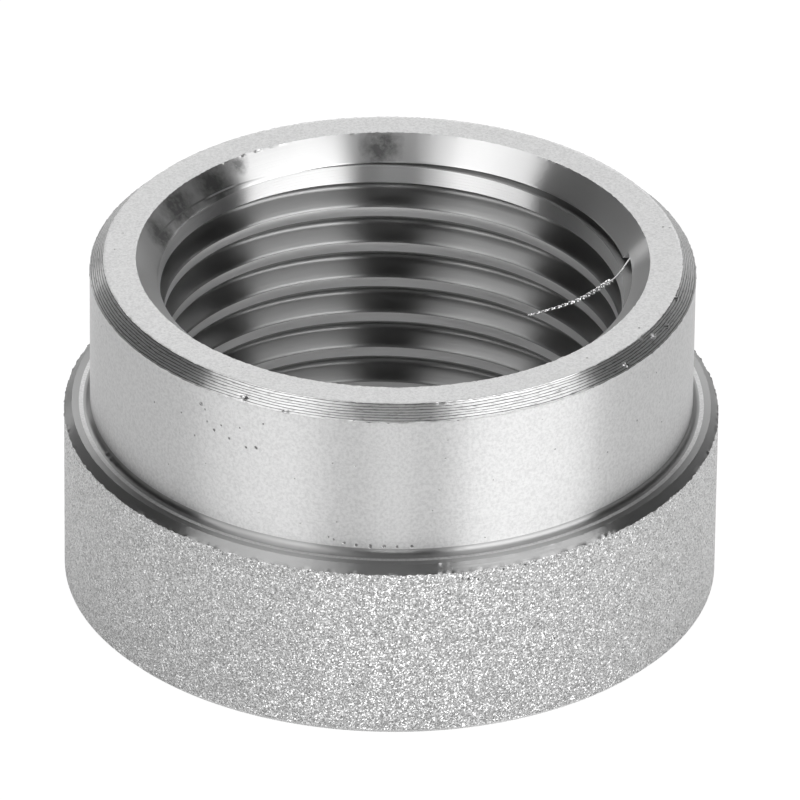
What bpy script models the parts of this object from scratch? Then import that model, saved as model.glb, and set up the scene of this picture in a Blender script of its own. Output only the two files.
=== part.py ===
"""Oxygen sensor weld bung: one turned stainless ring with a wide welding flange below, a plain neck
above and an M18 x 1.5 thread right through. Metres, +Z up. The ring stands on its flange, and its
origin is the centre of the lower face."""

import math

import bmesh
import bpy

MM = 0.001

# Internal thread for the sensor, in millimetres: M18 x 1.5, right-hand. The tap cuts the root a little
# over the nominal 18, and the drilled bore leaves the crests a little short of their full height.
THREAD_MAJOR_DIAMETER = 18.1
THREAD_PITCH = 1.5
BORE_CLEARANCE = 0.11
THREAD_EXIT_ANGLE = 223.0

# Body around the thread
NECK_WALL = 2.0
NECK_LENGTH = 6.0
SHOULDER_WIDTH = 0.95
FLANGE_THICKNESS = 7.0

# Broken edges and the tool radius at the foot of the neck
NECK_CHAMFER = 0.5
SHOULDER_FILLET = 0.25
FLANGE_CHAMFER = 0.28
FOOT_CHAMFER = 0.2

# Countersinks, 45 degrees, measured outwards from the thread's major radius. Below the upper one the
# bore tapers a little, so that the thread starts easily.
MOUTH_COUNTERSINK = 0.32
FOOT_COUNTERSINK = 0.4
MOUTH_TAPER = 0.2
MOUTH_TAPER_LENGTH = 1.2

# Fineness of the round surfaces
STEPS_AROUND = 72
FILLET_SEGMENTS = 4
SHARP_EDGE_ANGLE = 28.0

# Sizes that follow from those above
THREAD_RADIUS = THREAD_MAJOR_DIAMETER / 2.0
NECK_RADIUS = THREAD_RADIUS + NECK_WALL
FLANGE_RADIUS = NECK_RADIUS + SHOULDER_WIDTH
HEIGHT = FLANGE_THICKNESS + NECK_LENGTH

# 60 degree thread form: in full, a flat of an eighth of the pitch at the root and of a quarter at the crest
FLANK_SLOPE = math.tan(math.radians(30.0))
ROOT_FLAT = THREAD_PITCH / 8.0
FULL_CREST_FLAT = THREAD_PITCH / 4.0
FULL_DEPTH = (THREAD_PITCH - ROOT_FLAT - FULL_CREST_FLAT) / 2.0 / FLANK_SLOPE
BORE_RADIUS = THREAD_RADIUS - FULL_DEPTH + BORE_CLEARANCE


def clear_scene():
    """Empty the scene that the script runs in."""
    for thing in list(bpy.data.objects):
        bpy.data.objects.remove(thing, do_unlink=True)


def new_collection(name):
    """A named collection, linked to the scene."""
    collection = bpy.data.collections.new(name)
    bpy.context.scene.collection.children.link(collection)
    return collection


def turned_steel():
    """Stainless steel as it leaves the lathe."""
    material = bpy.data.materials.new("turned_stainless_steel")
    material.use_nodes = True
    shader = material.node_tree.nodes["Principled BSDF"]
    shader.inputs["Base Color"].default_value = (0.56, 0.56, 0.57, 1.0)
    shader.inputs["Metallic"].default_value = 1.0
    shader.inputs["Roughness"].default_value = 0.32
    return material


def shoulder_fillet():
    """Points of the concave fillet, from the neck's side down and out to the shoulder."""
    points = []
    for k in range(FILLET_SEGMENTS + 1):
        turn = math.radians(90.0) * k / FILLET_SEGMENTS
        radius = NECK_RADIUS + SHOULDER_FILLET * (1.0 - math.cos(turn))
        height = FLANGE_THICKNESS + SHOULDER_FILLET * (1.0 - math.sin(turn))
        points.append((radius, height))
    return points


def ring_section():
    """Closed section of the blank: down the outer side from the mouth, then up the bore."""
    mouth_radius = THREAD_RADIUS + MOUTH_COUNTERSINK
    taper_radius = BORE_RADIUS + MOUTH_TAPER
    taper_height = HEIGHT - (mouth_radius - taper_radius)
    foot_radius = THREAD_RADIUS + FOOT_COUNTERSINK
    neck = [
        (mouth_radius, HEIGHT),
        (NECK_RADIUS - NECK_CHAMFER, HEIGHT),
        (NECK_RADIUS, HEIGHT - NECK_CHAMFER),
    ]
    flange = [
        (FLANGE_RADIUS - FLANGE_CHAMFER, FLANGE_THICKNESS),
        (FLANGE_RADIUS, FLANGE_THICKNESS - FLANGE_CHAMFER),
        (FLANGE_RADIUS, FOOT_CHAMFER),
        (FLANGE_RADIUS - FOOT_CHAMFER, 0.0),
    ]
    bore = [
        (foot_radius, 0.0),
        (BORE_RADIUS, foot_radius - BORE_RADIUS),
        (BORE_RADIUS, taper_height - MOUTH_TAPER_LENGTH),
        (taper_radius, taper_height),
    ]
    return neck + shoulder_fillet() + flange + bore


def groove_section():
    """Closed section of the thread groove, which reaches past the crests into the bore."""
    inner_radius = THREAD_RADIUS - FULL_DEPTH
    half_root = ROOT_FLAT / 2.0
    half_opening = half_root + (THREAD_RADIUS - inner_radius) * FLANK_SLOPE
    return [
        (inner_radius, half_opening),
        (THREAD_RADIUS, half_root),
        (THREAD_RADIUS, -half_root),
        (inner_radius, -half_opening),
    ]


def outline(name, points, collection):
    """A closed wire in the XZ plane through (radius, height) points in millimetres."""
    mesh = bpy.data.meshes.new(name)
    wire = bmesh.new()
    corners = [wire.verts.new((radius * MM, 0.0, height * MM)) for radius, height in points]
    for k, corner in enumerate(corners):
        wire.edges.new((corner, corners[(k + 1) % len(corners)]))
    wire.to_mesh(mesh)
    wire.free()
    wire_object = bpy.data.objects.new(name, mesh)
    collection.objects.link(wire_object)
    return wire_object


def turn(section, climb=0.0, turns=1):
    """Turn a section about Z, climbing by so many millimetres with each turn."""
    screw = section.modifiers.new("turn", 'SCREW')
    screw.axis = 'Z'
    screw.steps = STEPS_AROUND
    screw.render_steps = STEPS_AROUND
    screw.screw_offset = climb * MM
    screw.iterations = turns
    screw.use_merge_vertices = climb == 0.0
    screw.merge_threshold = 0.000001


def made_mesh(thing):
    """The object's mesh with its modifiers carried out."""
    bpy.context.view_layer.update()
    depsgraph = bpy.context.evaluated_depsgraph_get()
    return bpy.data.meshes.new_from_object(thing.evaluated_get(depsgraph))


def thread_groove(collection):
    """Cutter of the helical groove, with capped ends that lie clear of both faces."""
    turns = math.ceil(HEIGHT / THREAD_PITCH) + 3
    guide = outline("groove_section", groove_section(), collection)
    turn(guide, THREAD_PITCH, turns)
    mesh = made_mesh(guide)
    bpy.data.objects.remove(guide, do_unlink=True)

    shape = bmesh.new()
    shape.from_mesh(mesh)
    bmesh.ops.remove_doubles(shape, verts=shape.verts, dist=0.000001)
    bmesh.ops.holes_fill(shape, edges=[edge for edge in shape.edges if edge.is_boundary])
    bmesh.ops.recalc_face_normals(shape, faces=shape.faces)
    shape.to_mesh(mesh)
    shape.free()

    cutter = bpy.data.objects.new("thread_groove", mesh)
    collection.objects.link(cutter)
    cutter.rotation_euler.z = math.radians(THREAD_EXIT_ANGLE)
    cutter.location.z = (HEIGHT - (turns - 1) * THREAD_PITCH) * MM
    cutter.hide_render = True
    cutter.display_type = 'WIRE'
    return cutter


def weld_bung(collection, cutters):
    """The whole part: the turned blank with the thread cut through it."""
    bung = outline("weld_bung", ring_section(), collection)
    turn(bung)
    thread = bung.modifiers.new("thread", 'BOOLEAN')
    thread.operation = 'DIFFERENCE'
    thread.solver = 'EXACT'
    thread.object = thread_groove(cutters)

    bung.data = made_mesh(bung)
    bung.modifiers.clear()
    bung.data.shade_smooth()
    bung.data.set_sharp_from_angle(angle=math.radians(SHARP_EDGE_ANGLE))
    bung.data.materials.clear()
    bung.data.materials.append(turned_steel())
    return bung


clear_scene()
weld_bung(new_collection("oxygen_sensor_weld_bung"), new_collection("cutters"))
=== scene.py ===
import math

import bmesh
import bpy
from mathutils import Matrix, Vector


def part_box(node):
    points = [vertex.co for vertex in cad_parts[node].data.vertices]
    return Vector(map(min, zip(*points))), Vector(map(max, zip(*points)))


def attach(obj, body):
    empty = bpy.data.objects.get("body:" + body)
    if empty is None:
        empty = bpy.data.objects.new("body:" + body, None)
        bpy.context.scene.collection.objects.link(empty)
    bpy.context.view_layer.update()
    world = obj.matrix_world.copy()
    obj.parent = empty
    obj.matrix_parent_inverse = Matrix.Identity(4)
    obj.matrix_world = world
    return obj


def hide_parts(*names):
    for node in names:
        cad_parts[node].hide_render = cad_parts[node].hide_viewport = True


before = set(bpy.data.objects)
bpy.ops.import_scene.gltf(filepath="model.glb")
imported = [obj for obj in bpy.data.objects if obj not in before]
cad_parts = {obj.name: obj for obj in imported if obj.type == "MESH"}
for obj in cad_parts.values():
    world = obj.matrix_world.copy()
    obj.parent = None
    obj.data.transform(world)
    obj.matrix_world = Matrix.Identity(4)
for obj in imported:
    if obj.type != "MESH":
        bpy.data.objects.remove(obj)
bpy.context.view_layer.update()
mm = 0.001

# The ring is turned in one piece from stainless bar: a thick flange that keeps the bar's dull skin, and a neck
# turned down to enter the hole in an exhaust pipe. Both ends of the bore are countersunk at 45 degrees, and
# below the upper countersink the bore tapers a little, so that the tap starts true.
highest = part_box("weld_bung")[1]
flange_radius = highest.x
height = highest.z
shoulder_height = 7.0 * mm
neck_radius = 11.05 * mm
mouth_radius = 9.37 * mm
taper_radius = 8.55 * mm
bore_radius = 8.35 * mm
taper_length = 1.2 * mm
foot_mouth_radius = 9.45 * mm
burr_land = 0.07 * mm
guard = 0.05 * mm
neck_chamfer = 0.5 * mm
flange_chamfer = 0.28 * mm
ridge_radius = 11.46 * mm
steps_around = 720
lip_round = 0.09 * mm
near = 0.01 * mm


def work_on(piece):
    """Select this piece alone and make it the active one."""
    bpy.ops.object.select_all(action='DESELECT')
    piece.select_set(True)
    bpy.context.view_layer.objects.active = piece


def pick(piece, kind, fits):
    """In edit mode, select only the corners, edges or faces whose middle fits, by its radius and height."""
    bpy.ops.mesh.select_mode(type={"verts": 'VERT', "edges": 'EDGE', "faces": 'FACE'}[kind])
    bpy.ops.mesh.select_all(action='DESELECT')
    shape = bmesh.from_edit_mesh(piece.data)
    for part in getattr(shape, kind):
        corners = [part] if kind == "verts" else part.verts
        middle = sum((corner.co for corner in corners), Vector()) / len(corners)
        if fits(math.hypot(middle.x, middle.y), middle.z):
            part.select_set(True)
    bmesh.update_edit_mesh(piece.data)


def rim(radius, level):
    """A test for the edges of the circle of that radius at that height."""
    return lambda r, z: abs(r - radius) < near and abs(z - level) < near


bpy.ops.object.select_all(action='DESELECT')
bpy.ops.mesh.primitive_cylinder_add(
    vertices=steps_around, radius=flange_radius, depth=shoulder_height, location=(0.0, 0.0, shoulder_height / 2.0)
)
ring = bpy.context.object
ring.name = "turned_ring"
bpy.ops.object.transform_apply(location=True, rotation=True, scale=True)
bpy.ops.object.mode_set(mode='EDIT')
pick(ring, "faces", lambda r, z: z > shoulder_height - near)
bpy.ops.mesh.inset(thickness=flange_chamfer + guard)
bpy.ops.mesh.inset(thickness=flange_radius - flange_chamfer - guard - ridge_radius)
bpy.ops.mesh.inset(thickness=ridge_radius - neck_radius)
bpy.ops.mesh.extrude_region_move(TRANSFORM_OT_translate={"value": (0.0, 0.0, height - shoulder_height)})
bpy.ops.mesh.inset(thickness=neck_chamfer + burr_land)
bpy.ops.mesh.inset(thickness=neck_radius - neck_chamfer - burr_land - mouth_radius - guard)
bpy.ops.mesh.inset(thickness=guard)
for wide, narrow, depth in (
    (mouth_radius, mouth_radius - guard, guard),
    (mouth_radius - guard, taper_radius, mouth_radius - guard - taper_radius),
    (taper_radius, bore_radius, taper_length),
):
    bpy.ops.mesh.extrude_region_move(TRANSFORM_OT_translate={"value": (0.0, 0.0, -depth)})
    bpy.ops.transform.resize(value=(narrow / wide, narrow / wide, 1.0), center_override=(0.0, 0.0, 0.0))
bpy.ops.mesh.delete(type='FACE')
pick(ring, "faces", lambda r, z: r < near and z < near)
bpy.ops.mesh.inset(thickness=flange_radius - foot_mouth_radius)
bpy.ops.mesh.extrude_region_move(
    TRANSFORM_OT_translate={"value": (0.0, 0.0, foot_mouth_radius - bore_radius)}
)
bpy.ops.transform.resize(
    value=(bore_radius / foot_mouth_radius, bore_radius / foot_mouth_radius, 1.0), center_override=(0.0, 0.0, 0.0)
)
bpy.ops.mesh.delete(type='FACE')
pick(ring, "edges", lambda r, z: abs(r - bore_radius) < near)
bpy.ops.mesh.bridge_edge_loops()
pick(ring, "edges", rim(taper_radius, height - mouth_radius + taper_radius))
bpy.ops.mesh.bevel(offset=lip_round, segments=3, affect='EDGES')
bpy.ops.mesh.select_all(action='SELECT')
bpy.ops.mesh.normals_make_consistent(inside=False)
bpy.ops.object.mode_set(mode='OBJECT')

# The thread is M18 x 1.5, right-hand, cut by a tap. Its groove is a 60 degree section swept up the bore, a little
# over 18 mm across at the root, and its edges along the crests are blunted.
thread_radius = 9.05 * mm
thread_pitch = 1.5 * mm
thread_steps = 360
thread_exit_angle = math.radians(223.0)
root_flat = thread_pitch / 8.0
root_round = 0.09 * mm
crest_blunting = 0.06 * mm
flank_slope = math.tan(math.radians(30.0))
blunt_radius = bore_radius + crest_blunting
blunt_opening = root_flat + 2.0 * (thread_radius - blunt_radius) * flank_slope
groove_inner_radius = bore_radius - 0.05 * mm
groove_opening = blunt_opening + 2.0 * (blunt_radius - groove_inner_radius) / flank_slope
turns = math.ceil(height / thread_pitch) + 3
weld_gap = 0.0001 * mm


def close_shape(piece):
    """Merge the doubles of a swept shape, cap its ends and point its faces outwards."""
    work_on(piece)
    bpy.ops.object.mode_set(mode='EDIT')
    bpy.ops.mesh.select_all(action='SELECT')
    bpy.ops.mesh.remove_doubles(threshold=weld_gap)
    bpy.ops.mesh.fill_holes(sides=0)
    bpy.ops.mesh.select_all(action='SELECT')
    bpy.ops.mesh.normals_make_consistent(inside=False)
    bpy.ops.object.mode_set(mode='OBJECT')


def section_plate(name, inner, outer, low, high):
    """A rectangle standing on the X axis, as a section to be swept round Z."""
    bpy.ops.object.select_all(action='DESELECT')
    bpy.ops.mesh.primitive_plane_add(
        size=1.0, location=((inner + outer) / 2.0, 0.0, (low + high) / 2.0), rotation=(math.pi / 2.0, 0.0, 0.0)
    )
    plate = bpy.context.object
    plate.name = name
    plate.scale = (outer - inner, high - low, 1.0)
    bpy.ops.object.transform_apply(location=True, rotation=True, scale=True)
    bpy.ops.object.mode_set(mode='EDIT')
    bpy.ops.mesh.select_all(action='SELECT')
    bpy.ops.mesh.delete(type='ONLY_FACE')
    bpy.ops.object.mode_set(mode='OBJECT')
    return plate


def sweep(piece, steps, turn=2.0 * math.pi, climb=0.0, rounds=1):
    """Sweep a section round Z, climbing by so much in each turn."""
    work_on(piece)
    screw = piece.modifiers.new("sweep", 'SCREW')
    screw.angle = turn
    screw.steps = steps
    screw.render_steps = steps
    screw.screw_offset = climb
    screw.iterations = rounds
    screw.use_merge_vertices = False
    bpy.ops.object.modifier_apply(modifier="sweep")


def cut(piece, tool, name):
    """Take the tool's shape out of the piece, and remove the tool."""
    work_on(piece)
    boolean = piece.modifiers.new(name, 'BOOLEAN')
    boolean.operation = 'DIFFERENCE'
    boolean.solver = 'EXACT'
    boolean.object = tool
    bpy.ops.object.modifier_apply(modifier=name)
    bpy.data.objects.remove(tool, do_unlink=True)


groove = section_plate("thread_groove", blunt_radius, thread_radius, -root_flat / 2.0, root_flat / 2.0)
bpy.ops.object.mode_set(mode='EDIT')
pick(groove, "edges", lambda r, z: r < blunt_radius + near)
bpy.ops.mesh.delete(type='EDGE')
pick(groove, "verts", lambda r, z: r < blunt_radius + near)
bpy.ops.transform.resize(value=(1.0, 1.0, blunt_opening / root_flat), center_override=(0.0, 0.0, 0.0))
bpy.ops.mesh.extrude_vertices_move(
    TRANSFORM_OT_translate={"value": (groove_inner_radius - blunt_radius, 0.0, 0.0)}
)
bpy.ops.transform.resize(value=(1.0, 1.0, groove_opening / blunt_opening), center_override=(0.0, 0.0, 0.0))
bpy.ops.mesh.edge_face_add()
pick(groove, "verts", lambda r, z: r > thread_radius - near)
bpy.ops.mesh.bevel(offset=root_round, segments=3, affect='VERTICES')
bpy.ops.object.mode_set(mode='OBJECT')
sweep(groove, thread_steps, climb=thread_pitch, rounds=turns)
groove.rotation_euler.z = thread_exit_angle
groove.location.z = height - (turns - 1) * thread_pitch
bpy.ops.object.transform_apply(location=True, rotation=True, scale=True)
close_shape(groove)

# The countersink was cut after the thread, and rolled a lip of metal over the last turn. The lip hides the groove
# from the slit on the right round to the back and left, and only a fine line shows where it meets the flank.
lip_height = 12.17 * mm
lip_start = math.radians(11.0)
lip_degrees = 285
lip_inner_radius = 7.5 * mm
lip_outer_radius = 10.0 * mm
lip_overlap = 2.0 * mm

lip = section_plate("rolled_lip", lip_inner_radius, lip_outer_radius, lip_height, height + lip_overlap)
sweep(lip, lip_degrees, turn=math.radians(lip_degrees))
lip.rotation_euler.z = lip_start
bpy.ops.object.transform_apply(location=True, rotation=True, scale=True)
close_shape(lip)
cut(groove, lip, "lip")
cut(ring, groove, "tapping")

# The outer edges are broken with the turning tool, and the tool's own nose leaves a small fillet at the neck's
# foot. The rows across each of them let the burr that the tool threw up be raised, and a guard row beside each torn
# edge keeps the face behind it flat.
shoulder_fillet = 0.25 * mm
foot_chamfer = 0.2 * mm
flat_profile = 0.25
round_profile = 0.5
guard_reach = neck_radius / 2.0
hard_edge = math.radians(33.0)

work_on(ring)
bpy.ops.object.mode_set(mode='EDIT')
for radius, level, width, rows, profile in (
    (neck_radius, height, neck_chamfer, 12, flat_profile),
    (neck_radius, shoulder_height, shoulder_fillet, 8, round_profile),
    (flange_radius, shoulder_height, flange_chamfer, 5, flat_profile),
    (flange_radius, 0.0, foot_chamfer, 2, flat_profile),
):
    pick(ring, "edges", rim(radius, level))
    bpy.ops.mesh.bevel(offset=width, segments=rows, profile=profile, affect='EDGES')
for level in (height - neck_chamfer - guard, shoulder_height - flange_chamfer - guard):
    pick(ring, "faces", lambda r, z: r > thread_radius + near and abs(z - level) < guard_reach)
    bpy.ops.mesh.bisect(plane_co=(0.0, 0.0, level), plane_no=(0.0, 0.0, 1.0), threshold=weld_gap)
bpy.ops.object.mode_set(mode='OBJECT')
bpy.ops.object.shade_smooth_by_angle(angle=hard_edge)
bpy.ops.object.mode_set(mode='EDIT')
guard_rims = (
    (neck_radius - neck_chamfer - burr_land, height),
    (mouth_radius + guard, height),
    (mouth_radius - guard, height - guard),
    (neck_radius, height - neck_chamfer - guard),
    (flange_radius, shoulder_height - flange_chamfer - guard),
    (flange_radius - flange_chamfer - guard, shoulder_height),
)
for radius, level in guard_rims:
    pick(ring, "edges", rim(radius, level))
    bpy.ops.mesh.mark_sharp()
bpy.ops.object.mode_set(mode='OBJECT')

# Turned stainless steel: the tool's fine rings run all round, so each light is drawn out across the rings, and a
# bright or dark stripe stands at the same place on the neck, the chamfers and the mouth.
feed_mark = 0.055 * mm
ring_depth = 0.003 * mm
satin_grain = 0.12 * mm
ragged_grain = 0.09 * mm
smear_grain = 0.4 * mm
stray_share = 0.58


def to_linear(hex_colour):
    """A colour written as sRGB hex, as the linear values that a shader takes."""
    values = [int(hex_colour[k:k + 2], 16) / 255.0 for k in (1, 3, 5)]
    return [v / 12.92 if v <= 0.04045 else ((v + 0.055) / 1.055) ** 2.4 for v in values] + [1.0]


def add_node(tree, kind, links=None, **settings):
    """Add a node, set its values and inputs, and join its inputs to other nodes' outputs."""
    node = tree.nodes.new(kind)
    for name, value in settings.items():
        if name.startswith("in_"):
            key = name[3:]
            node.inputs[int(key) if key.isdigit() else key.replace("_", " ")].default_value = value
        else:
            setattr(node, name, value)
    for name, output in (links or {}).items():
        tree.links.new(output, node.inputs[name])
    return node


def steel(name, colour, roughness):
    """A bare steel material, and its tree and shader."""
    material = bpy.data.materials.new(name)
    material.use_nodes = True
    shader = material.node_tree.nodes["Principled BSDF"]
    shader.inputs["Base Color"].default_value = to_linear(colour)
    shader.inputs["Metallic"].default_value = 1.0
    shader.inputs["Roughness"].default_value = roughness
    return material, material.node_tree, shader


def draw_out(tree, shader, share):
    """Draw each reflection out across the rings that run round the axis."""
    shader.inputs["Anisotropic"].default_value = share
    shader.inputs["Anisotropic Rotation"].default_value = 0.25
    around = add_node(tree, "ShaderNodeTangent", direction_type='RADIAL', axis='Z')
    tree.links.new(around.outputs["Tangent"], shader.inputs["Tangent"])


def round_the_axis(tree):
    """The place on the ring as a radius, a height and a direction from the axis."""
    place = add_node(tree, "ShaderNodeTexCoord")
    split = add_node(tree, "ShaderNodeSeparateXYZ", {0: place.outputs["Object"]})
    flat = add_node(tree, "ShaderNodeCombineXYZ", {0: split.outputs[0], 1: split.outputs[1]})
    radius = add_node(tree, "ShaderNodeVectorMath", {0: flat.outputs[0]}, operation='LENGTH')
    outward = add_node(tree, "ShaderNodeVectorMath", {0: flat.outputs[0]}, operation='NORMALIZE')
    return place.outputs["Object"], radius.outputs["Value"], split.outputs[2], outward.outputs[0]


def ring_marks(tree, radius, level, outward, width, streaks, detail=2.0):
    """Rings of uneven depth, so wide across and so many streaks to the turn."""
    across = add_node(tree, "ShaderNodeMath", {0: radius}, operation='DIVIDE', in_1=width)
    along = add_node(tree, "ShaderNodeMath", {0: level}, operation='DIVIDE', in_1=width)
    turned_way = add_node(tree, "ShaderNodeVectorMath", {0: outward}, operation='SCALE', in_Scale=streaks)
    lifted = add_node(tree, "ShaderNodeCombineXYZ", {2: across.outputs[0]})
    spot = add_node(tree, "ShaderNodeVectorMath", {0: turned_way.outputs[0], 1: lifted.outputs[0]})
    return add_node(
        tree, "ShaderNodeTexNoise", {"Vector": spot.outputs[0], "W": along.outputs[0]},
        noise_dimensions='4D', in_Scale=1.0, in_Detail=detail, in_Roughness=0.6
    ).outputs[0]


def at(angle, radius, level):
    """The point at that angle in degrees round the axis, and that radius and height in millimetres."""
    a = math.radians(angle)
    return Vector((radius * math.cos(a), radius * math.sin(a), level)) * mm


def flaws(tree, spot, places, spacing, size):
    """A mask of ragged flaws: named ones, each a place and a size, and stray ones, spaced so far apart."""
    cells = add_node(tree, "ShaderNodeTexVoronoi", {"Vector": spot}, in_Scale=1.0 / spacing)
    pit = add_node(
        tree, "ShaderNodeMapRange", {0: cells.outputs["Distance"]}, in_1=size / spacing, in_2=0.0
    )
    chosen = add_node(tree, "ShaderNodeMath", {0: cells.outputs["Color"]}, operation='GREATER_THAN', in_1=stray_share)
    mask = add_node(tree, "ShaderNodeMath", {0: pit.outputs[0], 1: chosen.outputs[0]}, operation='MULTIPLY')
    for angle, radius, level, wide in places:
        away = add_node(
            tree, "ShaderNodeVectorMath", {0: spot}, operation='DISTANCE', in_1=at(angle, radius, level)
        )
        dent = add_node(
            tree, "ShaderNodeMapRange", {0: away.outputs["Value"]}, in_1=wide * mm, in_2=0.3 * wide * mm
        )
        mask = add_node(tree, "ShaderNodeMath", {0: mask.outputs[0], 1: dent.outputs[0]}, operation='MAXIMUM')
    ragged = add_node(
        tree, "ShaderNodeTexNoise", {"Vector": spot}, in_Scale=1.0 / ragged_grain, in_Detail=3.0, in_Roughness=0.7
    )
    mask = add_node(tree, "ShaderNodeMath", {0: mask.outputs[0], 1: ragged.outputs[0]}, operation='MULTIPLY')
    return add_node(tree, "ShaderNodeMapRange", {0: mask.outputs[0]}, in_1=0.3, in_2=0.55).outputs[0]


def smears(tree, spot, places):
    """A soft mask of smears, thickest at the named places, each a place and a reach."""
    near_by = None
    for angle, radius, level, reach in places:
        away = add_node(
            tree, "ShaderNodeVectorMath", {0: spot}, operation='DISTANCE', in_1=at(angle, radius, level)
        )
        window = add_node(tree, "ShaderNodeMapRange", {0: away.outputs["Value"]}, in_1=reach * mm, in_2=0.0)
        near_by = window if near_by is None else add_node(
            tree, "ShaderNodeMath", {0: near_by.outputs[0], 1: window.outputs[0]}, operation='MAXIMUM'
        )
    blotch = add_node(
        tree, "ShaderNodeTexNoise", {"Vector": spot}, in_Scale=1.0 / smear_grain, in_Detail=4.0, in_Roughness=0.65
    )
    thick = add_node(
        tree, "ShaderNodeMath", {0: near_by.outputs[0], 1: blotch.outputs[0]}, operation='MULTIPLY'
    )
    return add_node(tree, "ShaderNodeMapRange", {0: thick.outputs[0]}, in_1=0.12, in_2=0.42).outputs[0]


def stain_and_paint_light(tree, clean, mask, dirt_and_painted_light):
    """A colour that goes from the clean one, plain or from a node, to another by a mask: stains, and also painted
    shade and painted highlights.
    """
    mix = add_node(tree, "ShaderNodeMix", {0: mask}, data_type='RGBA', in_7=to_linear(dirt_and_painted_light))
    if isinstance(clean, list):
        mix.inputs[6].default_value = clean
    else:
        tree.links.new(clean, mix.inputs[6])
    return mix.outputs[2]


def stroke(tree, outward, level, start, end, low, high, wide):
    """A mask of a line round the axis from one angle in degrees to another, climbing from low to high."""
    ways = add_node(tree, "ShaderNodeSeparateXYZ", {0: outward})
    angle = add_node(tree, "ShaderNodeMath", {0: ways.outputs[1], 1: ways.outputs[0]}, operation='ARCTAN2')
    middle, reach = math.radians((start + end) / 2.0), math.radians((end - start) / 2.0)
    line = add_node(
        tree, "ShaderNodeMapRange", {0: angle.outputs[0]}, in_1=middle - reach, in_2=middle + reach, in_3=low * mm,
        in_4=high * mm
    )
    away = add_node(tree, "ShaderNodeMath", {0: level, 1: line.outputs[0]}, operation='SUBTRACT')
    away = add_node(tree, "ShaderNodeMath", {0: away.outputs[0]}, operation='ABSOLUTE')
    mark = add_node(
        tree, "ShaderNodeMapRange", {0: away.outputs[0]}, in_1=wide * mm, in_2=0.4 * wide * mm
    )
    aside = add_node(tree, "ShaderNodeMath", {0: angle.outputs[0]}, operation='SUBTRACT', in_1=middle)
    aside = add_node(tree, "ShaderNodeMath", {0: aside.outputs[0]}, operation='ABSOLUTE')
    within = add_node(tree, "ShaderNodeMapRange", {0: aside.outputs[0]}, in_1=reach, in_2=0.6 * reach)
    return add_node(
        tree, "ShaderNodeMath", {0: mark.outputs[0], 1: within.outputs[0]}, operation='MULTIPLY'
    ).outputs[0]


turned, tree, shader = steel("turned_stainless_steel", "#DCDCDC", 0.3)
draw_out(tree, shader, 1.0)
spot, radius, level, outward = round_the_axis(tree)
fine = ring_marks(tree, radius, level, outward, feed_mark, 2.5)
grain = add_node(
    tree, "ShaderNodeTexNoise", {"Vector": spot}, in_Scale=1.0 / satin_grain, in_Detail=3.0, in_Roughness=0.65
)
both = add_node(
    tree, "ShaderNodeMath", {0: grain.outputs[0], 2: fine}, operation='MULTIPLY_ADD', in_1=0.5
)
bump = add_node(
    tree, "ShaderNodeBump", {"Height": both.outputs[0]}, in_Strength=1.0, in_Distance=ring_depth
)
tree.links.new(bump.outputs[0], shader.inputs["Normal"])
smudges = smears(tree, spot, (
    (152.0, 9.0, 12.62, 1.5), (138.0, 9.0, 12.62, 1.3), (129.0, 9.2, 12.85, 0.7), (164.0, 8.8, 12.4, 1.3),
    (93.0, 9.0, 12.62, 1.2),
))
colour = stain_and_paint_light(tree, to_linear("#E0E0E0"), smudges, "#8E8E8E")
# At the back left the rolled metal didn't close quite, so that a hairline still follows the groove's lower flank. Its
# dark line is painted shade. A short bright scratch from the countersinking tool crosses it.
colour = stain_and_paint_light(tree, colour, stroke(tree, outward, level, 122.0, 168.0, 12.25, 12.53, 0.03), "#A8A8A8")
# The scratch: painted shade along its sides, then a white painted highlight down its middle.
colour = stain_and_paint_light(tree, colour, stroke(tree, outward, level, 132.0, 144.0, 12.32, 12.36, 0.08), "#9C9C9C")
colour = stain_and_paint_light(tree, colour, stroke(tree, outward, level, 131.0, 143.0, 12.32, 12.36, 0.035), "#FFFFFF")
tree.links.new(colour, shader.inputs["Base Color"])

# The neck's chamfer is cut in one pass with a coarse feed, which leaves a few open grooves.
chamfer_feed = 0.1 * mm
chamfer_wander = 0.3 * mm
chatter_mark = 0.03 * mm
tear_mark = 0.04 * mm
groove_depth = 0.0022 * mm

grooved, tree, shader = steel("chamfered_stainless_steel", "#DCDCDC", 0.32)
draw_out(tree, shader, 1.0)
radius, level, outward = round_the_axis(tree)[1:]
wander = ring_marks(tree, radius, level, outward, chamfer_wander, 6.0, 1.0)
step = add_node(
    tree, "ShaderNodeMath", {0: level}, operation='DIVIDE', in_1=chamfer_feed / math.sqrt(2.0)
)
step = add_node(
    tree, "ShaderNodeMath", {0: wander, 2: step.outputs[0]}, operation='MULTIPLY_ADD', in_1=0.9
)
ridge = add_node(tree, "ShaderNodeMath", {0: step.outputs[0]}, operation='PINGPONG', in_1=0.5)
cut_line = add_node(
    tree, "ShaderNodeMapRange", {0: ridge.outputs[0]}, interpolation_type='SMOOTHSTEP', in_1=0.0, in_2=0.2,
    in_3=0.0, in_4=1.0
)
fine = ring_marks(tree, radius, level, outward, chatter_mark, 9.0)
uneven = add_node(
    tree, "ShaderNodeMath", {0: fine, 2: cut_line.outputs[0]}, operation='MULTIPLY_ADD', in_1=1.6
)
bump = add_node(
    tree, "ShaderNodeBump", {"Height": uneven.outputs[0]}, in_Strength=1.0, in_Distance=groove_depth
)
tree.links.new(bump.outputs[0], shader.inputs["Normal"])
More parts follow.
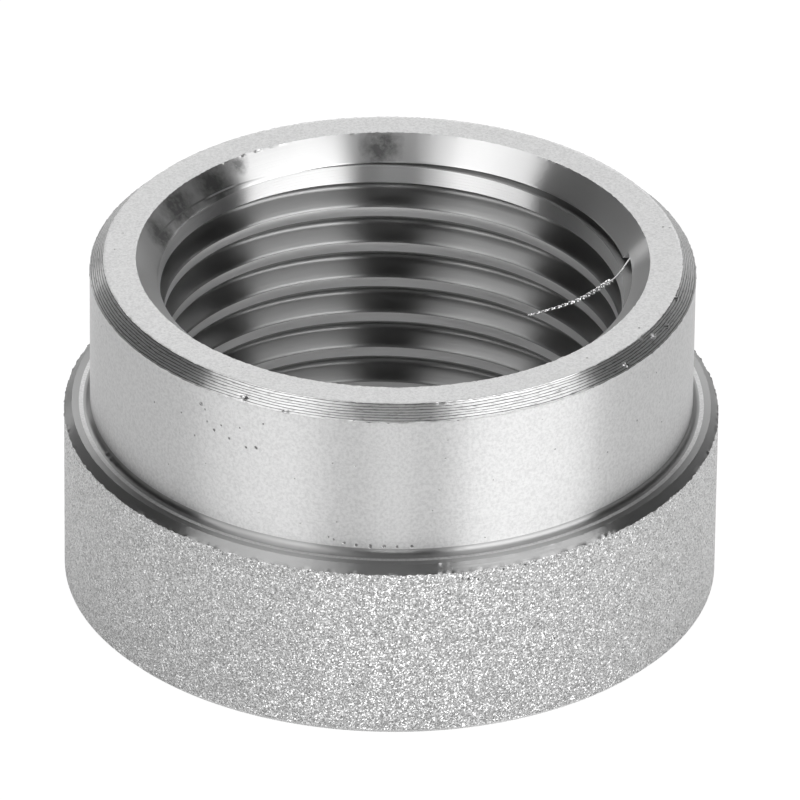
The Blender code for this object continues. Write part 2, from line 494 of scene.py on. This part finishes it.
# The groove bottoms and the torn streaks in them are painted dark: painted shade and dirt.
torn = ring_marks(tree, radius, level, outward, tear_mark, 45.0)
depth = add_node(
    tree, "ShaderNodeMath", {0: torn, 1: cut_line.outputs[0]}, operation='MULTIPLY_ADD', in_2=0.15
)
shade = add_node(tree, "ShaderNodeValToRGB", {0: depth.outputs[0]})
shade.color_ramp.elements[0].position = 0.28
shade.color_ramp.elements[0].color = to_linear("#505050")
shade.color_ramp.elements[1].position = 0.62
shade.color_ramp.elements[1].color = to_linear("#E0E0E0")
tree.links.new(shade.outputs[0], shader.inputs["Base Color"])

# The taper below the countersink is bored in fine steps. Each step's ledge faces up, so the taper takes the same
# light as the countersink above it.
step_pitch = 0.11 * mm
step_depth = 0.06 * mm

stepped, tree, shader = steel("step_bored_stainless_steel", "#E2E2E2", 0.34)
draw_out(tree, shader, 1.0)
level = round_the_axis(tree)[2]
ledge = add_node(tree, "ShaderNodeMath", {0: level}, operation='DIVIDE', in_1=-step_pitch)
ledge = add_node(tree, "ShaderNodeMath", {0: ledge.outputs[0]}, operation='FRACT')
bump = add_node(
    tree, "ShaderNodeBump", {"Height": ledge.outputs[0]}, in_Strength=1.0, in_Distance=step_depth
)
tree.links.new(bump.outputs[0], shader.inputs["Normal"])

# The neck's side is turned with a finer feed and then polished down with emery tape, so its stripes are soft.
tape_depth = 0.006 * mm

polished, tree, shader = steel("polished_stainless_steel", "#D8D8D8", 0.37)
draw_out(tree, shader, 0.9)
spot, radius, level, outward = round_the_axis(tree)
fine = ring_marks(tree, radius, level, outward, feed_mark, 2.5)
grain = add_node(
    tree, "ShaderNodeTexNoise", {"Vector": spot}, in_Scale=1.0 / satin_grain, in_Detail=3.0, in_Roughness=0.65
)
both = add_node(
    tree, "ShaderNodeMath", {0: grain.outputs[0], 2: fine}, operation='MULTIPLY_ADD', in_1=0.5
)
pits = flaws(tree, spot, (
    (-128.1, 11.05, 11.82, 0.17), (-127.2, 11.05, 11.66, 0.10), (-126.6, 11.05, 11.2, 0.09),
    (-125.0, 11.05, 10.95, 0.11), (-123.4, 11.05, 11.25, 0.08), (-121.6, 11.05, 10.82, 0.10),
    (-119.3, 11.05, 11.4, 0.07), (-118.0, 11.05, 10.66, 0.09), (-115.9, 11.05, 10.75, 0.13),
    (-129.6, 11.05, 10.4, 0.07), (-133.0, 11.05, 11.1, 0.07), (-140.5, 11.05, 10.9, 0.08),
    (-41.0, 11.05, 11.3, 0.07), (-36.5, 11.05, 10.1, 0.08), (-30.0, 11.05, 11.5, 0.07),
    (-27.5, 11.05, 9.2, 0.07), (-45.0, 11.05, 9.5, 0.06), (-98.5, 11.05, 7.42, 0.12), (-96.2, 11.05, 7.36, 0.13),
    (-93.6, 11.05, 7.34, 0.15), (-91.0, 11.05, 7.36, 0.14), (-88.6, 11.05, 7.34, 0.12), (-85.8, 11.05, 7.36, 0.13),
    (-100.5, 11.05, 7.52, 0.1),
), 0.4 * mm, 0.09 * mm)
dented = add_node(
    tree, "ShaderNodeMath", {0: pits, 2: both.outputs[0]}, operation='MULTIPLY_ADD', in_1=-5.0
)
bump = add_node(
    tree, "ShaderNodeBump", {"Height": dented.outputs[0]}, in_Strength=1.0, in_Distance=tape_depth
)
tree.links.new(bump.outputs[0], shader.inputs["Normal"])
satin = add_node(tree, "ShaderNodeValToRGB", {0: grain.outputs[0]})
satin.color_ramp.elements[0].position = 0.35
satin.color_ramp.elements[0].color = to_linear("#D2D2D2")
satin.color_ramp.elements[1].position = 0.6
satin.color_ramp.elements[1].color = to_linear("#E2E2E2")
tree.links.new(stain_and_paint_light(tree, satin.outputs[0], pits, "#787878"), shader.inputs["Base Color"])

# The end faces are faced off and rubbed on emery, which leaves a pale satin without a direction.
emery_grain = 0.09 * mm
emery_depth = 0.01 * mm

faced, tree, shader = steel("faced_stainless_steel", "#D4D4D4", 0.42)
spot = round_the_axis(tree)[0]
grain = add_node(
    tree, "ShaderNodeTexNoise", {"Vector": spot}, in_Scale=1.0 / emery_grain, in_Detail=4.0, in_Roughness=0.65
)
pits = flaws(tree, spot, (
    (-45.4, 10.0, 13.0, 0.08), (-28.9, 10.18, 13.0, 0.07), (14.2, 10.18, 13.0, 0.08), (14.8, 10.74, 13.0, 0.09),
    (13.6, 10.4, 13.0, 0.07), (171.0, 10.0, 13.0, 0.07), (178.0, 10.15, 13.0, 0.06),
), 0.5 * mm, 0.06 * mm)
dented = add_node(
    tree, "ShaderNodeMath", {0: pits, 2: grain.outputs[0]}, operation='MULTIPLY_ADD', in_1=-3.0
)
bump = add_node(
    tree, "ShaderNodeBump", {"Height": dented.outputs[0]}, in_Strength=1.0, in_Distance=emery_depth
)
tree.links.new(bump.outputs[0], shader.inputs["Normal"])
satin = add_node(tree, "ShaderNodeValToRGB", {0: grain.outputs[0]})
satin.color_ramp.elements[0].position = 0.35
satin.color_ramp.elements[0].color = to_linear("#C8C8C8")
satin.color_ramp.elements[1].position = 0.6
satin.color_ramp.elements[1].color = to_linear("#DCDCDC")
tree.links.new(stain_and_paint_light(tree, satin.outputs[0], pits, "#848484"), shader.inputs["Base Color"])

# The flange's side keeps the bar's blasted skin: a fine even grit whose grains each face their own way, so that they
# sparkle white and black, duller than the turned steel.
grit = 0.045 * mm
grain_tilt = 1.2
pit_size = 0.06 * mm
pit_depth = 0.01 * mm

skin, tree, shader = steel("blasted_bar_skin", "#B4B4B4", 0.4)
spot = round_the_axis(tree)[0]
grains = add_node(tree, "ShaderNodeTexVoronoi", {"Vector": spot}, in_Scale=1.0 / grit)
lean = add_node(
    tree, "ShaderNodeVectorMath", {0: grains.outputs["Color"]}, operation='SUBTRACT', in_1=(0.5, 0.5, 0.5)
)
facing = add_node(tree, "ShaderNodeNewGeometry")
leaning = add_node(
    tree, "ShaderNodeVectorMath", {0: lean.outputs[0], 2: facing.outputs["Normal"]}, operation='MULTIPLY_ADD',
    in_1=(grain_tilt, grain_tilt, grain_tilt)
)
leaning = add_node(tree, "ShaderNodeVectorMath", {0: leaning.outputs[0]}, operation='NORMALIZE')
pits = add_node(
    tree, "ShaderNodeTexNoise", {"Vector": spot}, in_Scale=1.0 / pit_size, in_Detail=3.0, in_Roughness=0.6
)
bump = add_node(
    tree, "ShaderNodeBump", {"Height": pits.outputs[0], "Normal": leaning.outputs[0]}, in_Strength=1.0,
    in_Distance=pit_depth
)
tree.links.new(bump.outputs[0], shader.inputs["Normal"])
shade = add_node(tree, "ShaderNodeValToRGB", {0: grains.outputs["Color"]})
shade.color_ramp.elements[0].position = 0.25
shade.color_ramp.elements[0].color = to_linear("#A6A6A6")
shade.color_ramp.elements[1].position = 0.75
shade.color_ramp.elements[1].color = to_linear("#F4F4F4")
dirt = flaws(tree, spot, (
    (-77.3, 12.0, 6.46, 0.10), (-76.2, 12.0, 6.40, 0.12), (-75.2, 12.0, 6.44, 0.09), (-74.6, 12.0, 6.34, 0.09),
    (-70.0, 12.0, 6.6, 0.10), (-66.0, 12.0, 6.62, 0.09), (-104.0, 12.0, 6.6, 0.09), (-120.0, 12.0, 6.58, 0.11),
    (-128.0, 12.0, 5.2, 0.09), (-51.0, 12.0, 6.5, 0.09), (-96.0, 12.0, 2.1, 0.09), (-60.0, 12.0, 3.2, 0.08),
), 0.6 * mm, 0.09 * mm)
soiled = add_node(
    tree, "ShaderNodeMix", {0: dirt, 6: shade.outputs[0]}, data_type='RGBA', in_7=to_linear("#3C3C3C")
)
tree.links.new(soiled.outputs[2], shader.inputs["Base Color"])

# The drill's finish stays on the crests, painted paler as painted light. The tap's own marks run along the flanks.
tap_mark = 0.07 * mm

drilled, tree, shader = steel("drilled_steel_painted_light", "#ECECEC", 0.55)
radius, level, outward = round_the_axis(tree)[1:]
marks = ring_marks(tree, radius, level, outward, tap_mark, 3.0)
bump = add_node(
    tree, "ShaderNodeBump", {"Height": marks}, in_Strength=1.0, in_Distance=ring_depth
)
tree.links.new(bump.outputs[0], shader.inputs["Normal"])

# The flanks' darker colour is painted shade, deep in the bore.
tapped, tree, shader = steel("tapped_steel_painted_shade", "#9E9E9E", 0.32)
draw_out(tree, shader, 0.9)
radius, level, outward = round_the_axis(tree)[1:]
marks = ring_marks(tree, radius, level, outward, tap_mark, 3.0)
bump = add_node(
    tree, "ShaderNodeBump", {"Height": marks}, in_Strength=1.0, in_Distance=ring_depth
)
tree.links.new(bump.outputs[0], shader.inputs["Normal"])

# The tool's corner left the fillet, the shoulder outside its narrow ridge and the flange's chamfer coarser; their
# darker look is painted into the colour as painted shade.
coarse_feed = 0.05 * mm
coarse_depth = 0.006 * mm

coarse, tree, shader = steel("coarse_turned_steel_painted_shade", "#A4A4A4", 0.3)
draw_out(tree, shader, 1.0)
radius, level, outward = round_the_axis(tree)[1:]
marks = ring_marks(tree, radius, level, outward, coarse_feed, 6.0)
bump = add_node(
    tree, "ShaderNodeBump", {"Height": marks}, in_Strength=1.0, in_Distance=coarse_depth
)
tree.links.new(bump.outputs[0], shader.inputs["Normal"])

# Each finish goes on the faces that its tool made, before the edges are torn. Later lines win over earlier ones.
taper_foot = 11.2 * mm
taper_top = height - mouth_radius + taper_radius
taper_slope = (taper_radius - bore_radius) / taper_length
finishes = (turned, faced, skin, tapped, polished, grooved, stepped, drilled, coarse)

ring.data.materials.clear()
for finish in finishes:
    ring.data.materials.append(finish)
work_on(ring)
bpy.ops.object.mode_set(mode='EDIT')
for finish, fits in (
    (turned, lambda r, z: True),
    (faced, lambda r, z: z > height - near or z < near),
    (faced, lambda r, z: neck_radius + shoulder_fillet < r < ridge_radius and abs(z - shoulder_height) < near),
    (coarse, lambda r, z: ridge_radius < r < flange_radius - flange_chamfer and abs(z - shoulder_height) < near),
    (coarse, lambda r, z: r > flange_radius - flange_chamfer
        and shoulder_height - flange_chamfer < z < shoulder_height),
    (coarse, lambda r, z: neck_radius < r < neck_radius + shoulder_fillet
        and shoulder_height < z < height - neck_chamfer),
    (skin, lambda r, z: r > flange_radius - near and foot_chamfer < z < shoulder_height - flange_chamfer),
    (tapped, lambda r, z: r < thread_radius + near and foot_mouth_radius - r < z < lip_height - near),
    (drilled, lambda r, z: r < bore_radius + near and foot_mouth_radius - r < z < lip_height - near),
    (stepped, lambda r, z: bore_radius + near < r < taper_radius + near and taper_foot < z < lip_height - near
        and abs(r - bore_radius - (z - taper_top + taper_length) * taper_slope) < near),
    (grooved, lambda r, z: r > neck_radius - neck_chamfer and height - neck_chamfer < z < height - near),
    (polished, lambda r, z: abs(r - neck_radius) < near
        and shoulder_height + shoulder_fillet < z < height - neck_chamfer),
):
    pick(ring, "faces", fits)
    ring.active_material_index = finishes.index(finish)
    bpy.ops.object.material_slot_assign()

# Each edge is torn a little: a fine lip stands up along the neck's chamfer and the mouth, and the flange's chamfer
# ends unevenly in the blasted skin.
for radius, level, lip_rise, tear, seed in (
    (neck_radius - neck_chamfer, height, 0.012 * mm, 0.022 * mm, 3),
    (neck_radius, height - neck_chamfer, 0.014 * mm, 0.024 * mm, 5),
    (mouth_radius, height, 0.0, 0.018 * mm, 7),
    (flange_radius - flange_chamfer, shoulder_height, 0.0, 0.01 * mm, 11),
    (flange_radius, shoulder_height - flange_chamfer, 0.0, 0.045 * mm, 13),
):
    pick(ring, "verts", rim(radius, level))
    bpy.ops.transform.shrink_fatten(value=lip_rise)
    bpy.ops.transform.vertex_random(offset=tear, uniform=0.0, normal=0.0, seed=seed)

# A few flecks stand up from the edges as white specks. One nick is dented into the neck's chamfer, and three into
# the mouth's edge at the back.
for angle, radius, level, reach, rise in (
    (-28.8, 10.74, 12.81, 0.07, 0.09), (-32.2, 10.60, 12.96, 0.06, 0.08), (-23.4, 10.82, 12.73, 0.06, 0.08),
    (-14.3, 10.60, 12.95, 0.07, 0.08), (-39.6, 10.89, 12.66, 0.05, 0.16), (-39.2, 10.97, 12.58, 0.05, 0.10),
    (-119.0, 10.92, 12.63, 0.10, -0.08), (-110.0, 11.05, 12.5, 0.06, 0.07), (-97.0, 11.05, 12.5, 0.05, 0.06),
    (-81.6, 11.72, 7.0, 0.05, 0.05), (-79.4, 12.0, 6.72, 0.05, 0.06), (-139.0, 11.99, 6.73, 0.06, 0.06),
    (-157.5, 11.13, 7.08, 0.07, 0.05), (-155.5, 11.13, 7.08, 0.06, 0.05), (-153.3, 11.13, 7.08, 0.06, 0.05),
    (122.5, 9.37, 13.0, 0.10, -0.06), (126.0, 9.37, 13.0, 0.08, -0.05), (119.0, 9.37, 13.0, 0.08, -0.05),
):
    bpy.ops.mesh.select_all(action='DESELECT')
    shape = bmesh.from_edit_mesh(ring.data)
    for corner in shape.verts:
        guarding = any(
            rim(r, z)(math.hypot(corner.co.x, corner.co.y), corner.co.z) for r, z in guard_rims
        )
        if not guarding and (corner.co - at(angle, radius, level)).length < reach * mm:
            corner.select_set(True)
    bmesh.update_edit_mesh(ring.data)
    bpy.ops.transform.shrink_fatten(value=rise * mm)
bpy.ops.object.mode_set(mode='OBJECT')

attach(ring, "root")
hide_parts("weld_bung")

# A hair of swarf is still joined to the thread's first turn, where the lip ends: a plain root, then two fine curls
# twisted round each other. It is the same steel, torn off by the tap.
strand_radius = 0.03 * mm
twist_radius = 0.078 * mm
twist_rounds = 7
ribbon_half_width = 0.055 * mm
ribbon_half_thickness = 0.02 * mm
twist_steps = 20
tip_narrowing = -0.75
crumple = 0.008 * mm
swarf_route = (
    (8.70, 1.40, 12.36), (8.45, 0.72, 12.34), (8.24, 0.22, 12.30), (7.98, -0.20, 12.26), (7.72, -0.45, 12.21),
    (7.44, -0.75, 12.17), (7.00, -1.20, 12.13), (6.64, -1.46, 12.09), (6.27, -1.66, 12.05), (5.90, -1.86, 12.02),
    (5.58, -2.00, 12.00), (5.24, -2.12, 11.95), (4.92, -2.20, 11.90),
)
twist_begins = 3


def route_curve(name, points, thickness):
    """A smooth open curve through points given in millimetres, round if it has a thickness."""
    line = bpy.data.curves.new(name, 'CURVE')
    line.dimensions = '3D'
    line.bevel_depth = thickness
    line.bevel_resolution = 3
    line.use_fill_caps = True
    spline = line.splines.new('BEZIER')
    spline.bezier_points.add(len(points) - 1)
    for knot, point in zip(spline.bezier_points, points):
        knot.co = Vector(point) * mm
        knot.handle_left_type = 'AUTO'
        knot.handle_right_type = 'AUTO'
    piece = bpy.data.objects.new(name, line)
    bpy.context.scene.collection.objects.link(piece)
    return piece


swarf = route_curve("swarf_curl", swarf_route[:twist_begins + 2], strand_radius)
work_on(swarf)
bpy.ops.object.convert(target='MESH')
route = route_curve("swarf_route", swarf_route[twist_begins:], 0.0)
route_length = sum(
    (Vector(b) - Vector(a)).length * mm for a, b in zip(swarf_route[twist_begins:], swarf_route[twist_begins + 1:])
)
curls = []
for side in (1.0, -1.0):
    bpy.ops.object.select_all(action='DESELECT')
    bpy.ops.mesh.primitive_plane_add(
        size=1.0, location=(0.0, side * twist_radius, 0.0), rotation=(0.0, math.pi / 2.0, 0.0)
    )
    curl = bpy.context.object
    curl.name = "swarf_strand"
    curl.scale = (2.0 * ribbon_half_width, 2.0 * ribbon_half_thickness, 1.0)
    bpy.ops.object.transform_apply(location=True, rotation=True, scale=True)
    twist = curl.modifiers.new("twist", 'SCREW')
    twist.axis = 'X'
    twist.steps = twist_steps
    twist.render_steps = twist_steps
    twist.screw_offset = route_length / twist_rounds
    twist.iterations = twist_rounds
    bpy.ops.object.modifier_apply(modifier="twist")
    narrowing = curl.modifiers.new("narrowing", 'SIMPLE_DEFORM')
    narrowing.deform_method = 'TAPER'
    narrowing.deform_axis = 'X'
    narrowing.factor = tip_narrowing
    bpy.ops.object.modifier_apply(modifier="narrowing")
    bend = curl.modifiers.new("bend", 'CURVE')
    bend.object = route
    bend.deform_axis = 'POS_X'
    bpy.ops.object.modifier_apply(modifier="bend")
    curls.append(curl)
bpy.data.objects.remove(route, do_unlink=True)
work_on(swarf)
for curl in curls:
    curl.select_set(True)
bpy.ops.object.join()
close_shape(swarf)
bpy.ops.object.mode_set(mode='EDIT')
bpy.ops.mesh.select_all(action='SELECT')
bpy.ops.transform.vertex_random(offset=crumple, uniform=0.0, normal=0.0, seed=17)
bpy.ops.object.mode_set(mode='OBJECT')
bpy.ops.object.shade_smooth_by_angle(angle=math.radians(40.0))
torn_off, tree, shader = steel("bright_torn_steel", "#F0F0F0", 0.22)
swarf.data.materials.clear()
swarf.data.materials.append(torn_off)
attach(swarf, "root")

# The studio: a white table and background, two soft boxes in front, left and right of the camera, a large one high
# behind and a small strip under the lens. Black flags between them give the steel its dark stripes.
table_radius = 1.2
table_glow = 1.08
table_share = 0.88
plain_light = 0.4
studio_radius = 0.42
flag_distance = 0.95

bpy.ops.object.select_all(action='DESELECT')
bpy.ops.mesh.primitive_circle_add(vertices=96, radius=table_radius, fill_type='NGON', location=(0.0, 0.0, 0.0))
table = bpy.context.object
table.name = "white_table"
paper = bpy.data.materials.new("white_paper")
paper.use_nodes = True
tree = paper.node_tree
tree.nodes.clear()
path = add_node(tree, "ShaderNodeLightPath")
matt = add_node(tree, "ShaderNodeBsdfDiffuse", in_Color=to_linear("#EEEEEE"))
glow = add_node(tree, "ShaderNodeEmission", in_Strength=table_glow)
share = add_node(
    tree, "ShaderNodeMath", {0: path.outputs["Is Camera Ray"]}, operation='MULTIPLY', in_1=table_share
)
mix = add_node(
    tree, "ShaderNodeMixShader", {0: share.outputs[0], 1: matt.outputs[0], 2: glow.outputs[0]}
)
add_node(tree, "ShaderNodeOutputMaterial", {"Surface": mix.outputs[0]})
table.data.materials.append(paper)

world = bpy.data.worlds.new("white_studio")
bpy.context.scene.world = world
world.use_nodes = True
tree = world.node_tree
tree.nodes.clear()
path = add_node(tree, "ShaderNodeLightPath")
seen = add_node(
    tree, "ShaderNodeMath",
    {0: path.outputs["Is Camera Ray"], 1: path.outputs["Is Glossy Ray"]}, operation='MAXIMUM'
)
seen = add_node(
    tree, "ShaderNodeMath",
    {0: seen.outputs[0], 1: path.outputs["Is Transmission Ray"]}, operation='MAXIMUM'
)
strength = add_node(
    tree, "ShaderNodeMapRange", {0: seen.outputs[0]}, in_3=plain_light, in_4=1.0
)
background = add_node(tree, "ShaderNodeBackground", {"Strength": strength.outputs[0]})
add_node(tree, "ShaderNodeOutputWorld", {"Surface": background.outputs[0]})


def place(thing, azimuth, elevation, distance):
    """Put a lamp or card round the ring, facing it; azimuth 0 is the camera's side and 90 is its right."""
    a = math.radians(azimuth)
    e = math.radians(elevation)
    direction = Vector((math.sin(a) * math.cos(e), -math.cos(a) * math.cos(e), math.sin(e)))
    thing.location = direction * distance
    thing.rotation_euler = direction.to_track_quat('Z', 'Y').to_euler()


for name, azimuth, elevation, width, tall, radiance in (
    ("soft_box_right", 50.7, 20.9, 0.39, 0.42, 2.45),
    ("soft_box_left", -48.0, 29.9, 0.36, 0.53, 1.42),
    ("soft_box_behind", 181.0, 55.3, 0.41, 0.72, 1.05),
    ("strip_light_low", 1.0, 7.3, 0.11, 0.13, 2.1),
):
    bpy.ops.object.light_add(type='AREA')
    lamp = bpy.context.object
    lamp.name = name
    lamp.data.shape = 'RECTANGLE'
    lamp.data.size = width
    lamp.data.size_y = tall
    lamp.data.energy = radiance * math.pi * width * tall
    lamp.visible_camera = False
    place(lamp, azimuth, elevation, studio_radius)

black = bpy.data.materials.new("black_card")
black.use_nodes = True
black.node_tree.nodes["Principled BSDF"].inputs["Base Color"].default_value = to_linear("#181818")
black.node_tree.nodes["Principled BSDF"].inputs["Roughness"].default_value = 1.0
for name, azimuth, elevation, width, tall in (
    ("black_flag_right", 125.2, 41.1, 2.25, 1.30),
    ("black_flag_left", -96.9, 33.0, 1.86, 1.24),
    ("black_flag_gap", -3.7, 35.8, 0.78, 0.78),
    ("black_flag_front", 5.8, 71.4, 0.99, 0.54),
    ("black_flag_back", 183.7, 14.2, 1.05, 0.50),
):
    bpy.ops.mesh.primitive_plane_add(size=1.0)
    card = bpy.context.object
    card.name = name
    card.scale = (width, tall, 1.0)
    card.data.materials.append(black)
    card.visible_camera = False
    card.visible_shadow = False
    card.visible_diffuse = False
    place(card, azimuth, elevation, flag_distance)

# The camera stands where the photographer's did, far off with a long lens, a little over the ring.
camera_distance = 450.0 * mm
camera_elevation = math.radians(30.34)
camera_roll = math.radians(0.681)
target = Vector((0.316 * mm, 0.0, 6.99 * mm))
bpy.ops.object.camera_add()
camera = bpy.context.object
camera.data.sensor_width = 36.0
camera.data.lens = 552.2
camera.data.clip_start = 10.0 * mm
tilt = Matrix.Rotation(math.pi / 2.0 - camera_elevation, 4, 'X')
camera.matrix_world = (
    Matrix.Translation(target) @ tilt @ Matrix.Rotation(camera_roll, 4, 'Z')
    @ Matrix.Translation((0.0, 0.0, camera_distance))
)
bpy.context.scene.camera = camera
bpy.context.scene.view_settings.view_transform = 'Standard'
